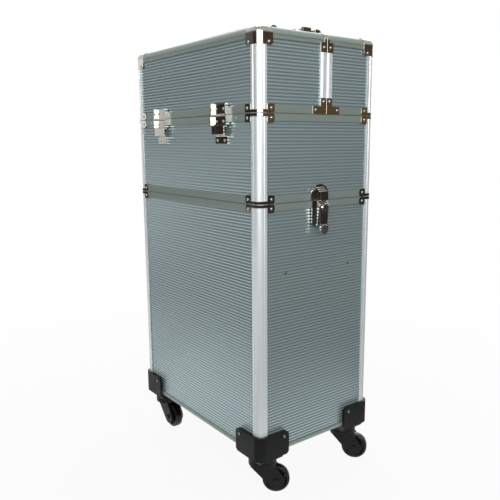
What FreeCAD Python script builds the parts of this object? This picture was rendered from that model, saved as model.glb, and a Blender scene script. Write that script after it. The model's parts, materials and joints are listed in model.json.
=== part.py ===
import FreeCAD, Part
import math
import os

from FreeCAD import Vector

# A rolling makeup train case: a base on four casters, an upper case that lifts off it, and a lid in
# two halves that open outwards and carry a tray each.
# Millimetres. X runs across the front, the front faces -Y, Z is up and the floor is Z = 0.

# Case outline and the heights of its tiers
case_width = 240.0
case_depth = 368.0
base_height = 397.0
upper_height = 131.0
lid_height = 119.5
split_offset = 12.0          # the lid splits this far right of the centre line
split_gap = 0.4

# Aluminium extrusions and the boards that they hold
wing = 16.5                  # face of a corner extrusion, from the outer corner
skin = 1.6                   # wall of every extrusion
corner_radius = 10.0
groove_line = 11.2           # middle of the groove along a wing, from the outer corner
groove_width = 1.8
groove_depth = 0.9
board = 4.0                  # thickness of the ribbed wall boards
board_seat = 9.0             # edge of a board, from the outer corner
rail_face = 11.5             # height of a seam rail
sill_face = 5.5              # height of the bottom rail
rail_web = 3.0               # closed edge of a rail
tongue_height = 5.0          # lip of a rim that guides the tier above
tongue_play = 0.3
ledge_reach = 16.0           # flange that carries a floor board, from the outer face
ledge_clearance = 1.0
floor_board = 6.0
floor_play = 0.5

# Ribs pressed into the boards
rib_pitch = 4.9
rib_depth = 0.5

# Chrome corner brackets and caps
bracket_sheet = 1.0
bracket_reach = 30.0
bracket_tab = 13.5
bracket_band = 5.0
bracket_play = 0.3
tab_bevel = 2.4              # cut off the free corners of brackets and caps
cap_reach = 27.0
cap_drop = 26.0
curve_play = 0.4             # keeps pressed steel clear of the curved corner that it wraps

# Brackets at the lid split
strip_face = 12.0
foot_width = 28.0
foot_height = 12.0
leg_height = 24.0
crown_width = 13.0
crown_height = 15.0
crown_strip = 5.0
bead_width = 11.0            # rounded bead along a strip, between its brackets
bead_rise = 1.6
crown_drop = 13.5            # top of the crown bracket's plate, below the lid's top

# Lid hinges with their stops
hinge_width = 43.0
hinge_sheet = 1.5
pivot_stand = 3.6            # pivot line in front of the case's face
eye_radius = 2.6
pin_radius = 1.5
pivot_play = 0.3
lid_leaf_height = 17.5
case_leaf_height = 15.0
leaf_rim = 1.5               # turned-up edge of a leaf
leaf_rim_width = 1.2
stop_width = 32.0
stop_stand = 7.0
stop_top = 16.0              # depths below the seam
stop_bottom = 29.0
stop_foot_bottom = 43.0

# Key locks at the front and back
lock_width = 32.0
lock_height = 40.0
lock_sheet = 2.0
lock_cheek = 3.0
strike_width = 37.0
strike_height = 25.6
lever_width = 15.0
lever_back = 8.0             # pin of the lever, in front of the case's face
lever_stand = 12.0           # front of the lever
hardware_stand = 14.0        # furthest that locks and tubes stand off the case
lever_pivot_drop = 8.0
lever_top_gap = 4.0
lever_bottom = 40.0
tab_bottom = 52.5
tab_ledge = 4.0              # slope at the tab's top, above the lever's bottom
boss_height = 20.0
boss_steps = 3
barrel_radius = 4.5
barrel_rise = 2.0
key_slot_width = 1.4
key_slot_height = 5.0

# Corner boots and casters
boot_wall = 4.5
boot_reach = 57.0
boot_rise = 33.0             # height of the boot's walls on the case
boot_plate = 7.0
boot_round = 8.0
boot_bevel = 4.0
caster_inset = 28.0
neck_radius = 23.0
neck_height = 14.0
taper_height = 9.0           # part of the neck that tapers from the boot's outline
caster_gap = 0.6
wheel_clearance = 4.0
fork_plate = 6.4
fork_cheek = 5.0
cheek_gap = 1.2
fork_end = 13.5
fork_mouth = 20.0            # half of the cheek's width under the top plate
hood_length = 24.0           # wall between the cheeks along their leading edge
hood_wall = 3.5
caster_trail = 22.0
wheel_radius = 22.5
wheel_width = 14.0
wheel_web = 5.2              # thickness between rim and hub
rim_inner = 17.0
hub_radius = 7.0
axle_radius = 3.0
kingpin_radius = 5.0
bearing_play = 0.3
rest_headings = {"front_left": -37.0, "front_right": -50.0, "back_left": -90.0, "back_right": -60.0}

# Telescopic pull handle on the back
tube_spread = 52.0
tube_width = 20.0
tube_depth = 12.0
tube_wall = 1.2
tube_play = 0.3
inner_wall = 1.0
tube_margin = 2.0            # clear of the boots below and the rim rail above
inner_inset = 14.0           # foot of the sliding tubes above the foot of the sleeves
clamp_width = 30.0
clamp_height = 24.0
clamp_margin = 4.0
grip_rise = 35.0             # grip above the upper seam when pushed in
grip_height = 24.0
grip_overhang = 12.0
grip_round = 4.0
grip_back = 2.0              # clear of the case's back face
button_width = 26.0
button_depth = 7.0
button_height = 5.0
button_sink = 7.0
button_stand = 2.0

# Carry handle and the two lid latches on top
handle_line = -14.0          # X of the handle's pivot line
handle_rise = 13.0
handle_half = 83.0           # half of the handle's length between its ears
handle_reach = 34.0
handle_thickness = 14.0
handle_bend = 20.0
handle_pin = 3.0
handle_knuckle = 8.0
ear_thickness = 6.0
ear_radius = 10.0
ear_gap = 1.0
ear_plate = 2.0
ear_plate_length = 20.0
ear_plate_width = 24.0
latch_inset = 36.0           # latches from the front and back faces
latch_width = 18.0
latch_plate = 1.5
latch_reach = 27.0
latch_height = 9.5
latch_pivot = 8.0            # pivot from the latch's outer end
latch_side = 4.0
latch_gap = 0.6
strike_reach = 22.0

# Trays and the arms that hold them level
tray_side_gap = 22.0         # from the case's outer face to the outer wall of a tray
tray_margin = 36.0           # how much narrower a tray is than its lid half
tray_end_gap = 24.0
tray_bottom_rise = -9.0      # floor of the trays against the upper seam
tray_height = 45.0
tray_wall = 3.0
tray_floor = 2.0
divider_count = 3
divider_wall = 2.0
link_margin = 52.0           # how much shorter the link is than its lid half
link_rise = 17.0
arm_inset = 30.0             # arm pivots on the case, from its outer face
arm_drop = 20.0
arm_width = 12.0
arm_sheet = 3.0
arm_gap = 1.0
stud_radius = 2.5
stud_shoulder = 4.5

# Heights and depths that follow from the sizes above
fork_top = 2 * wheel_radius + wheel_clearance + fork_plate
neck_bottom = fork_top + caster_gap
base_bottom = neck_bottom + neck_height + boot_plate
boot_top = base_bottom + boot_rise
lower_seam = base_bottom + base_height
upper_seam = lower_seam + upper_height
lid_top = upper_seam + lid_height
half_width = case_width / 2
half_depth = case_depth / 2
rail_depth = 2 * skin + board
board_face = skin + board
tongue_line = rail_depth + tongue_play
ledge_height = tongue_height + ledge_clearance
sheet_round = corner_radius - curve_play
hinge_pivot = half_width + pivot_stand
hinge_spread = half_depth / 2
tray_edge = half_width - tray_side_gap
tray_half = half_depth - tray_end_gap
link_level = upper_seam + link_rise
arm_level = upper_seam - arm_drop
arm_line = half_width - arm_inset
tube_start = boot_top + tube_margin
tube_end = lower_seam - rail_face - tube_margin
tube_middle = half_depth + hardware_stand - skin - tube_depth / 2
grip_bottom = upper_seam + grip_rise
latch_spread = half_depth - latch_inset

along_x = Vector(1, 0, 0)
along_y = Vector(0, 1, 0)
along_z = Vector(0, 0, 1)
front_left = Vector(-half_width, -half_depth, 0)


# Plain shapes
def box(x0, x1, y0, y1, z0, z1):
    return Part.makeBox(x1 - x0, y1 - y0, z1 - z0, Vector(x0, y0, z0))


def rod(radius, start, end):
    axis = end - start
    return Part.makeCylinder(radius, axis.Length, start, axis)


def outline(points):
    return Part.Face(Part.makePolygon(points + points[:1]))


def rectangle(x0, x1, y0, y1, z):
    return [Vector(x0, y0, z), Vector(x1, y0, z), Vector(x1, y1, z), Vector(x0, y1, z)]


def frustum(low, high):
    # Solid with flat sides between two outlines of as many corners.
    sides = [outline([low[i - 1], low[i], high[i], high[i - 1]]) for i in range(len(low))]
    return Part.Solid(Part.Shell([outline(low), outline(high)] + sides))


def plane_points(origin, u, v, pairs):
    return [origin + u * a + v * b for a, b in pairs]


def fuse(shapes):
    whole = shapes[0]
    for shape in shapes[1:]:
        whole = whole.fuse(shape)
    return whole.removeSplitter()


def flip_x(shape):
    return shape.mirror(Vector(), along_x)


def flip_y(shape):
    return shape.mirror(Vector(), along_y)


def front_and_back(shapes):
    return shapes + [flip_y(shape) for shape in shapes]


def left_and_right(shapes):
    return shapes + [flip_x(shape) for shape in shapes]


def four_corners(shape):
    return left_and_right(front_and_back([shape]))


def edges_near(shape, points):
    return [min(shape.Edges, key=lambda edge: edge.CenterOfMass.distanceToPoint(point)) for point in points]


def save(name, solids):
    shape = solids[0] if len(solids) == 1 else Part.makeCompound(solids)
    shape.exportStep(f"parts/{name}.step")


# Extrusions and boards
def corner_section(corner, u, v):
    # Rounded angle with a groove along each wing and a slot in it for the edge of a board.
    inner = rail_depth
    mouth = board_face
    flank = groove_width / 2
    groove = [(groove_line - flank, 0), (groove_line, groove_depth), (groove_line + flank, 0)]
    arc_mid = corner_radius * (1 - math.sqrt(0.5))
    a, b, middle = plane_points(corner, u, v, [(0, corner_radius), (corner_radius, 0), (arc_mid, arc_mid)])
    slot = [(wing, 0), (wing, skin), (board_seat, skin), (board_seat, mouth), (wing, mouth), (wing, inner)]
    half = [(corner_radius, 0)] + groove + slot
    pairs = half + [(inner, inner)] + [(b, a) for a, b in reversed(half)]
    rest = plane_points(corner, u, v, pairs)
    arc = Part.Arc(a, middle, b).toShape()
    return Part.Face(Part.Wire([arc] + Part.makePolygon(rest).Edges))


def channel_points(face):
    # Slot open away from the closed edge, in depth from the face and distance from the closed edge.
    return [(0, 0), (0, face), (skin, face), (skin, rail_web), (board_face, rail_web),
            (board_face, face), (rail_depth, face)]


def channel_section(origin, inward, away, face):
    return outline(plane_points(origin, inward, away, channel_points(face) + [(rail_depth, 0)]))


def rim_section(origin, inward, away, face):
    # Channel with a tongue that stands past the closed edge and guides the tier above.
    far = tongue_line + skin
    pairs = channel_points(face) + [(rail_depth, rail_web), (far, rail_web), (far, -tongue_height),
                                    (tongue_line, -tongue_height), (tongue_line, 0)]
    return outline(plane_points(origin, inward, away, pairs))


def ledge_section(origin, inward, away, face, height):
    # Channel with a flange that carries a floor board.
    pairs = channel_points(face) + [(rail_depth, height + skin), (ledge_reach, height + skin),
                                    (ledge_reach, height), (rail_depth, height)]
    if height > 0:
        pairs.append((rail_depth, 0))
    return outline(plane_points(origin, inward, away, pairs))


def side_rails(section, level, away, *sizes):
    # Four straight rails between the corner posts at one level.
    front = section(Vector(-half_width + wing, -half_depth, level), along_y, away, *sizes)
    left = section(Vector(-half_width, -half_depth + wing, level), along_x, away, *sizes)
    front_rail = front.extrude(along_x * (case_width - 2 * wing))
    left_rail = left.extrude(along_y * (case_depth - 2 * wing))
    return front_and_back([front_rail]) + left_and_right([left_rail])


def ribbed_board(origin, across, width, upward, height, inward):
    # Board with pressed ribs that run across its face.
    count = int(height // rib_pitch)
    margin = (height - count * rib_pitch) / 2
    pairs = [(0, 0)]
    for i in range(count):
        crest = margin + i * rib_pitch
        pairs += [(0, crest), (rib_depth, crest + rib_pitch / 2)]
    pairs += [(0, margin + count * rib_pitch), (0, height), (board, height), (board, 0)]
    return outline(plane_points(origin, inward, upward, pairs)).extrude(across * width)


def tier_boards(bottom, top):
    # Front, back, left and right boards between two levels.
    corner = Vector(-half_width + board_seat, -half_depth + skin, bottom)
    front = ribbed_board(corner, along_x, case_width - 2 * board_seat, along_z, top - bottom, along_y)
    corner = Vector(-half_width + skin, -half_depth + board_seat, bottom)
    left = ribbed_board(corner, along_y, case_depth - 2 * board_seat, along_z, top - bottom, along_x)
    return front_and_back([front]) + left_and_right([left])


def floor_plate(level):
    x = half_width - rail_depth - floor_play
    y = half_depth - rail_depth - floor_play
    return box(-x, x, -y, y, level, level + floor_board)


def corner_posts(bottom, top):
    section = corner_section(front_left + along_z * bottom, along_x, along_y)
    return four_corners(section.extrude(along_z * (top - bottom)))


# Pressed corner pieces
def corner_block(stand, reach, radius, bottom, top):
    # Prism over the front left corner with its outer edge rounded.
    x0 = -half_width - stand
    y0 = -half_depth - stand
    x1 = -half_width + reach
    y1 = -half_depth + reach
    arc_mid = radius * (1 - math.sqrt(0.5))
    a = Vector(x0, y0 + radius, bottom)
    b = Vector(x0 + radius, y0, bottom)
    arc = Part.Arc(a, Vector(x0 + arc_mid, y0 + arc_mid, bottom), b).toShape()
    sides = Part.makePolygon([b, Vector(x1, y0, bottom), Vector(x1, y1, bottom), Vector(x0, y1, bottom), a])
    return Part.Face(Part.Wire([arc] + sides.Edges)).extrude(along_z * (top - bottom))


def corner_wrap(reach, bottom, top):
    outside = corner_block(bracket_sheet, reach, corner_radius + bracket_sheet, bottom, top)
    return outside.cut(corner_block(0, reach + wing, sheet_round, bottom, top))


def seam_bracket(seam, upward):
    # Band round the corner beside a seam, with a riveted tab on each face.
    near = seam + upward * bracket_play
    band_end = seam + upward * bracket_band
    tab_end = seam + upward * bracket_tab
    wrap = corner_wrap(bracket_reach, min(near, tab_end), max(near, tab_end))
    notch = corner_block(wing, wing, corner_radius, min(band_end, tab_end), max(band_end, tab_end))
    return bevel_tabs(wrap.cut(notch), bracket_reach, [near, tab_end])


def bevel_tabs(shape, reach, levels):
    # Cuts off the free corners that a pressed piece has on its two faces at these levels.
    stand = bracket_sheet / 2
    corners = [Vector(-half_width + reach, -half_depth - stand, level) for level in levels]
    corners += [Vector(-half_width - stand, -half_depth + reach, level) for level in levels]
    return shape.makeChamfer(tab_bevel, edges_near(shape, corners))


def rounded_corner(stand, reach, drop, radius):
    # Top corner of the lid with its three edges rounded into one another.
    x0 = -half_width - stand
    y0 = -half_depth - stand
    top = lid_top + stand
    x1 = -half_width + reach
    y1 = -half_depth + reach
    z0 = lid_top - drop
    block = box(x0, x1, y0, y1, z0, top)
    middles = [Vector(x0, y0, (z0 + top) / 2), Vector((x0 + x1) / 2, y0, top),
               Vector(x0, (y0 + y1) / 2, top)]
    return block.makeFillet(radius, edges_near(block, middles))


def corner_cap():
    # Steel cap over the corner where three extrusions meet, with the plug that closes their ends.
    shell = rounded_corner(bracket_sheet, cap_reach, cap_drop, corner_radius + bracket_sheet)
    inside = rounded_corner(0, cap_reach + wing, cap_drop + wing, sheet_round)
    low = front_left + along_z * (lid_top - board_seat)
    plug = inside.common(Part.makeBox(wing, wing, board_seat, low))
    seat = low + Vector(board_seat, board_seat, 0)
    plug = plug.cut(Part.makeBox(wing, wing, board_seat, seat))
    return bevel_tabs(fuse([shell.cut(inside), plug]), cap_reach, [lid_top - cap_drop])


# Lid halves, made for the left and mirrored for the right
def lid_width(side):
    return half_width + side * split_offset - split_gap / 2


def lid_boards(width):
    edge = -half_width + width - rail_web
    bottom = upper_seam + rail_web
    rise = lid_top - board_seat - bottom
    x0 = -half_width + board_seat
    y0 = -half_depth + board_seat
    front = ribbed_board(Vector(x0, -half_depth + skin, bottom), along_x, edge - x0, along_z, rise, along_y)
    side = ribbed_board(Vector(-half_width + skin, y0, bottom), along_y, -2 * y0, along_z, rise, along_x)
    top = ribbed_board(Vector(x0, y0, lid_top - skin), along_y, -2 * y0, along_x, edge - x0, -along_z)
    return front_and_back([front]) + [side, top]


def lid_frame(width):
    # Posts, top and bottom rails, and the strips along the split.
    split = -half_width + width
    run_x = width - wing
    run_y = case_depth - 2 * wing
    start = Vector(-half_width + wing, -half_depth, lid_top)
    side_start = Vector(-half_width, -half_depth + wing, lid_top)
    post = corner_section(front_left + along_z * upper_seam, along_x, along_y)
    post = post.extrude(along_z * (lid_height - board_seat))
    front_top = corner_section(start, along_y, -along_z).extrude(along_x * run_x)
    side_top = corner_section(side_start, along_x, -along_z).extrude(along_y * run_y)
    low = Vector(-half_width + wing, -half_depth, upper_seam)
    front_low = channel_section(low, along_y, along_z, rail_face).extrude(along_x * run_x)
    low = Vector(-half_width, -half_depth + wing, upper_seam)
    side_low = channel_section(low, along_x, along_z, rail_face).extrude(along_y * run_y)
    strip_start = Vector(split, -half_depth, upper_seam + rail_face)
    strip = channel_section(strip_start, along_y, -along_x, strip_face)
    strip = fuse([strip.extrude(along_z * (lid_height - rail_face - wing)), strip_bead(split)])
    top_start = Vector(split, -half_depth + wing, lid_top)
    top_strip = channel_section(top_start, -along_z, -along_x, strip_face).extrude(along_y * run_y)
    return front_and_back([post, front_top, front_low, strip]) + [side_top, side_low, top_strip]


def strip_bead(split):
    # Bowed front of a strip, between the brackets at its ends.
    low = upper_seam + leg_height + 2 * bracket_play
    high = lid_top - crown_drop - crown_height - bracket_play
    middle = Vector(split - strip_face / 2, -half_depth, low)
    side = along_x * (bead_width / 2)
    bow = Part.Arc(middle - side, middle - along_y * bead_rise, middle + side).toShape()
    chord = Part.makeLine(middle + side, middle - side)
    return Part.Face(Part.Wire([bow, chord])).extrude(along_z * (high - low))


def split_bracket(width):
    # Riveted angle at the foot of the split and a plate whose strip runs over the top edge.
    split = -half_width + width
    face = -half_depth
    low = upper_seam + bracket_play
    foot = outline([Vector(split, face, low), Vector(split, face, low + leg_height),
                    Vector(split - strip_face, face, low + leg_height),
                    Vector(split - strip_face, face, low + foot_height),
                    Vector(split - foot_width, face, low + foot_height),
                    Vector(split - foot_width, face, low)]).extrude(-along_y * bracket_sheet)
    plate_top = lid_top - crown_drop
    plate = box(split - crown_width, split, face - bracket_sheet, face, plate_top - crown_height, plate_top)
    outside = rounded_edge(bracket_sheet, split - crown_strip, split, corner_radius + bracket_sheet)
    inside = rounded_edge(0, split - crown_width, split, sheet_round)
    strip = outside.cut(inside).common(
        box(split - crown_strip, split, face - wing, face + wing, plate_top, lid_top + wing))
    return [foot, fuse([plate, strip])]


def rounded_edge(stand, x0, x1, radius):
    # Front top edge of the lid as a bar with its edge rounded.
    face = -half_depth - stand
    top = lid_top + stand
    bar = box(x0, x1, face, -half_depth + wing, lid_top - 2 * wing, top)
    return bar.makeFillet(radius, edges_near(bar, [Vector((x0 + x1) / 2, face, top)]))


# Hinges: pressed leaves whose turned-up ends share a pin in front of the seam
def leaf_end(y, height):
    # Turned-up end of a leaf, cut back to a blunt nose round the pivot; height is up or down from the seam.
    way = math.copysign(1, height)
    nose = eye_radius / 2
    pairs = [(pivot_stand, nose), (nose, eye_radius), (-nose, eye_radius), (-eye_radius, nose),
             (-eye_radius, -nose), (-eye_radius, -abs(height)), (pivot_stand, -abs(height))]
    points = [Vector(-hinge_pivot + a, y, upper_seam - way * b) for a, b in pairs]
    return outline(points).extrude(along_y * hinge_sheet)


def leaf_rim_bar(y0, y1, bottom):
    outer = -half_width - hinge_sheet
    return box(outer - leaf_rim, outer, y0, y1, bottom, bottom + leaf_rim_width)


def lid_leaf(centre):
    inset = hinge_sheet + pivot_play
    y0 = centre - hinge_width / 2 + inset
    y1 = centre + hinge_width / 2 - inset
    plate = box(-half_width - hinge_sheet, -half_width, y0, y1, upper_seam + bracket_play,
                upper_seam + lid_leaf_height)
    ends = [leaf_end(y, lid_leaf_height) for y in (y0, y1 - hinge_sheet)]
    rim = leaf_rim_bar(y0, y1, upper_seam + lid_leaf_height - leaf_rim_width)
    low = box(-half_width - pivot_play, -half_width, y0, y1,
              upper_seam - eye_radius, upper_seam + bracket_play)
    bore = rod(pin_radius + pivot_play, Vector(-hinge_pivot, y0, upper_seam),
               Vector(-hinge_pivot, y1, upper_seam))
    return fuse([plate, rim] + ends).cut(low).cut(bore)


def case_leaf(centre):
    # Fixed leaf with the stop below it and the pin riveted through its ends.
    y0 = centre - hinge_width / 2
    y1 = centre + hinge_width / 2
    plate = box(-half_width - hinge_sheet, -half_width, y0, y1, upper_seam - case_leaf_height,
                upper_seam - eye_radius)
    ends = [leaf_end(y, -case_leaf_height) for y in (y0, y1 - hinge_sheet)]
    rim = leaf_rim_bar(y0, y1, upper_seam - case_leaf_height)
    pin = rod(pin_radius, Vector(-hinge_pivot, y0, upper_seam), Vector(-hinge_pivot, y1, upper_seam))
    high = box(-half_width - pivot_play, -half_width, y0, y1,
               upper_seam - bracket_play, upper_seam + eye_radius)
    return fuse([plate, rim, lid_stop(centre), pin] + ends).cut(high)


def lid_stop(centre):
    # Raised bridge below the case leaf that holds the open lid, stepped back to a foot on the board.
    outer = -half_width - stop_stand
    foot = -half_width + skin
    top = upper_seam - case_leaf_height
    step = upper_seam - stop_bottom - stop_stand / 2
    bridge = [(-half_width, top), (-half_width - hinge_sheet, top), (outer, upper_seam - stop_top),
              (outer, upper_seam - stop_bottom), (foot - hinge_sheet, step),
              (foot - hinge_sheet, upper_seam - stop_foot_bottom), (foot, upper_seam - stop_foot_bottom),
              (foot, step),
              (outer + hinge_sheet, upper_seam - stop_bottom + hinge_sheet),
              (outer + hinge_sheet, upper_seam - stop_top - hinge_sheet),
              (-half_width, upper_seam - stop_top - hinge_sheet)]
    points = [Vector(x, centre - stop_width / 2, z) for x, z in bridge]
    return outline(points).extrude(along_y * stop_width)


# Key lock on the front, mirrored to the back
def lock_base():
    # Back plate under the seam with two cheeks that carry the lever's pin.
    face = -half_depth
    top = lower_seam - bracket_play
    bottom = lower_seam - lock_height
    inner = lever_width / 2 + pivot_play
    plate = box(-lock_width / 2, lock_width / 2, face - lock_sheet, face, bottom, top)
    corners = [Vector(x, face - lock_sheet / 2, bottom) for x in (-lock_width / 2, lock_width / 2)]
    bodies = [plate.makeChamfer(2 * lock_sheet, edges_near(plate, corners))]
    pivot_z = lower_seam - lever_pivot_drop
    for side in (-1, 1):
        x0, x1 = sorted((side * inner, side * (inner + lock_cheek)))
        profile = [(0, top), (-lever_back, top), (-hardware_stand + lock_sheet, pivot_z),
                   (-lever_back, bottom + lock_sheet), (0, bottom + lock_sheet)]
        cheek = outline([Vector(x0, face + y, z) for y, z in profile])
        bodies.append(cheek.extrude(along_x * (x1 - x0)))
    reach = inner + lock_cheek
    pin_y = face - lever_back
    pin = rod(pin_radius, Vector(-reach, pin_y, pivot_z), Vector(reach, pin_y, pivot_z))
    return fuse(bodies + [pin])


def lock_lever():
    # Lever with a key barrel that hangs from its pin and ends in a rounded pull tab with a ledge.
    face = -half_depth
    pivot_z = lower_seam - lever_pivot_drop
    pin_y = face - lever_back
    front = face - lever_stand
    knuckle = pin_radius + skin
    half = lever_width / 2
    profile = [(pin_y + knuckle, pivot_z), (pin_y + knuckle, pivot_z - 2 * knuckle),
               (pin_y - skin, pivot_z - 3 * knuckle), (pin_y - skin, lower_seam - lever_bottom),
               (front, lower_seam - lever_bottom), (front, lower_seam - lever_top_gap - skin),
               (front + skin, lower_seam - lever_top_gap), (pin_y, pivot_z + knuckle)]
    bar = outline([Vector(-half, y, z) for y, z in profile]).extrude(along_x * lever_width)
    tab_front = face - hardware_stand
    tab_back = front + skin
    tab_centre = lower_seam - tab_bottom + half
    ledge = lower_seam - lever_bottom
    tab_profile = [(tab_back, tab_centre), (tab_front, tab_centre), (tab_front, ledge),
                   (front, ledge + tab_ledge), (tab_back, ledge + tab_ledge)]
    tab = outline([Vector(-half, y, z) for y, z in tab_profile]).extrude(along_x * lever_width)
    tip = rod(half, Vector(0, tab_front, tab_centre), Vector(0, tab_back, tab_centre))
    bore = rod(pin_radius + pivot_play, Vector(-half, pin_y, pivot_z), Vector(half, pin_y, pivot_z))
    key = Vector(0, front - barrel_rise, pivot_z - knuckle)
    barrel = rod(barrel_radius, key, key + along_y * (barrel_rise + skin))
    slot = box(-key_slot_width / 2, key_slot_width / 2, key.y, key.y + skin,
               key.z - key_slot_height / 2, key.z + key_slot_height / 2)
    return fuse([bar, barrel, tab, tip]).cut(bore).cut(slot)


def lock_strike():
    # Arched plate above the seam with the stepped boss that the lever closes against.
    face = -half_depth
    low = lower_seam + bracket_play
    half = strike_width / 2
    shoulder = low + strike_height / 2
    arch = Part.Arc(Vector(half, face, shoulder), Vector(0, face, low + strike_height),
                    Vector(-half, face, shoulder)).toShape()
    sides = Part.makePolygon([Vector(-half, face, shoulder), Vector(-half, face, low),
                              Vector(half, face, low), Vector(half, face, shoulder)])
    plate = Part.Face(Part.Wire([arch] + sides.Edges)).extrude(-along_y * lock_sheet)
    top = low + boss_height
    front = face - hardware_stand + skin
    run = (face - lock_sheet - front) / boss_steps
    rise = lever_back / boss_steps
    profile = [(face, low), (front, low)]
    for step in range(boss_steps):
        level = top - rise * (boss_steps - 1 - step)
        profile += [(front + run * step, level), (front + run * (step + 1), level)]
    profile.append((face, top))
    boss = outline([Vector(-lever_width / 2, y, z) for y, z in profile]).extrude(along_x * lever_width)
    return fuse([plate, boss])


# Boots and casters
def boot():
    # Moulded cup over a lower corner that tapers to a round neck, with the pin that the caster turns on.
    plate_bottom = base_bottom - boot_plate
    radius = corner_radius + boot_wall
    cup = corner_block(boot_wall, boot_reach, radius, plate_bottom, boot_top)
    x1 = -half_width + boot_reach
    y1 = -half_depth + boot_reach
    x0 = -half_width - boot_wall
    y0 = -half_depth - boot_wall
    cup = cup.cut(corner_block(0, boot_reach + wing, sheet_round, base_bottom, boot_top))
    wall_mid = boot_wall / 2
    ends = [Vector(x1, y0 + wall_mid, boot_top), Vector(x0 + wall_mid, y1, boot_top)]
    cup = cup.makeFillet(boot_round, edges_near(cup, ends))
    lows = [Vector(x1, (y0 + y1) / 2, plate_bottom), Vector((x0 + x1) / 2, y1, plate_bottom)]
    cup = cup.makeChamfer(boot_bevel, edges_near(cup, lows))
    centre = front_left + Vector(caster_inset, caster_inset, neck_bottom)
    neck = rod(neck_radius, centre, centre + along_z * (neck_height - taper_height))
    low = rectangle(centre.x - neck_radius, centre.x + neck_radius, centre.y - neck_radius,
                    centre.y + neck_radius, plate_bottom - taper_height)
    high = rectangle(-half_width, x1 - boot_bevel, -half_depth, y1 - boot_bevel, plate_bottom)
    taper = frustum(low, high)
    kingpin = rod(kingpin_radius, centre - along_z * (caster_gap + fork_plate), centre)
    return fuse([cup, taper, neck, kingpin])


def tangent_point(point, centre, radius, side):
    # Where a line from a point touches a circle, on the chosen side.
    away = point - centre
    lean = side * math.acos(radius / away.Length)
    turn = FreeCAD.Rotation(along_y, math.degrees(lean))
    return centre + turn.multVec(away) * (radius / away.Length)


def fork():
    # Top plate, two cheeks that slope back to the axle riveted through them, and a hood between them.
    low = fork_top - fork_plate
    top = Part.makeCylinder(neck_radius, fork_plate, Vector(0, 0, low))
    hub = Vector(caster_trail, 0, wheel_radius)
    front_top = Vector(-fork_mouth, 0, low)
    back_top = Vector(fork_mouth, 0, low)
    front_touch = tangent_point(front_top, hub, fork_end, -1)
    back_touch = tangent_point(back_top, hub, fork_end, 1)
    round_end = Part.Arc(front_touch, hub - along_z * fork_end, back_touch).toShape()
    sides = Part.makePolygon([back_touch, back_top, front_top, front_touch])
    cheek = Part.Face(Part.Wire([round_end] + sides.Edges)).extrude(along_y * fork_cheek)
    inner = wheel_width / 2 + cheek_gap
    cheeks = [cheek.translated(along_y * inner), cheek.translated(-along_y * (inner + fork_cheek))]
    lead = (front_touch - front_top).normalize()
    hood = outline(plane_points(front_top - along_y * inner, lead, lead.cross(along_y), [
        (0, 0), (hood_length, 0), (hood_length, hood_wall), (0, hood_wall)])).extrude(along_y * (2 * inner))
    axle = rod(axle_radius, hub - along_y * inner, hub + along_y * inner)
    pin_bore = Part.makeCylinder(kingpin_radius + bearing_play, fork_plate, Vector(0, 0, low))
    return fuse([top, hood, axle] + cheeks).cut(pin_bore)


def wheel():
    # Rim and hub joined by a thin web.
    hub = Vector(caster_trail, 0, wheel_radius)
    half = along_y * (wheel_width / 2)
    solid = rod(wheel_radius, hub - half, hub + half)
    for side in (-1, 1):
        web = hub + along_y * (side * wheel_web / 2)
        solid = solid.cut(rod(rim_inner, web, hub + half * side).cut(rod(hub_radius, web, hub + half * side)))
    return solid.cut(rod(axle_radius + bearing_play, hub - half, hub + half))


def at_caster(shape, corner):
    side_x = -1 if corner.endswith("left") else 1
    side_y = -1 if corner.startswith("front") else 1
    turned = shape.rotated(Vector(), along_z, rest_headings[corner])
    x = side_x * (half_width - caster_inset)
    y = side_y * (half_depth - caster_inset)
    return turned.translated(Vector(x, y, 0))


# Telescopic handle
def tube(width, depth, wall, bottom, top):
    def block(inset):
        half = width / 2 - inset
        return box(tube_spread - half, tube_spread + half, tube_middle - depth / 2 + inset,
                   tube_middle + depth / 2 - inset, bottom, top)

    outside = block(0)
    level = (bottom + top) / 2
    corners = [Vector(tube_spread + side * width / 2, tube_middle + end * depth / 2, level)
               for side in (-1, 1) for end in (-1, 1)]
    return outside.makeFillet(wall, edges_near(outside, corners)).cut(block(wall))


def tube_clamp(bottom):
    body = box(tube_spread - clamp_width / 2, tube_spread + clamp_width / 2, half_depth - skin,
               half_depth + hardware_stand, bottom, bottom + clamp_height)
    corners = [Vector(x, half_depth + hardware_stand, bottom + clamp_height / 2)
               for x in (tube_spread - clamp_width / 2, tube_spread + clamp_width / 2)]
    body = body.makeFillet(grip_round, edges_near(body, corners))
    hole = box(tube_spread - tube_width / 2, tube_spread + tube_width / 2, tube_middle - tube_depth / 2,
               tube_middle + tube_depth / 2, bottom, bottom + clamp_height)
    return body.cut(hole)


def pull_grip():
    half = tube_spread + tube_width / 2 + grip_overhang
    y0 = half_depth + grip_back
    y1 = half_depth + hardware_stand
    top = grip_bottom + grip_height
    middle_y = (y0 + y1) / 2
    body = box(-half, half, y0, y1, grip_bottom, top)
    ends = [Vector(x, middle_y, z) for x in (-half, half) for z in (grip_bottom, top)]
    body = body.makeFillet(grip_height / 2 - grip_round, edges_near(body, ends))
    pocket = box(-button_width / 2 - tube_play, button_width / 2 + tube_play,
                 middle_y - button_depth / 2 - tube_play, middle_y + button_depth / 2 + tube_play,
                 top - button_sink, top)
    return body.cut(pocket)


def pull_button():
    middle_y = half_depth + (grip_back + hardware_stand) / 2
    top = grip_bottom + grip_height + button_stand
    return box(-button_width / 2, button_width / 2, middle_y - button_depth / 2, middle_y + button_depth / 2,
               top - button_height, top)


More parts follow.
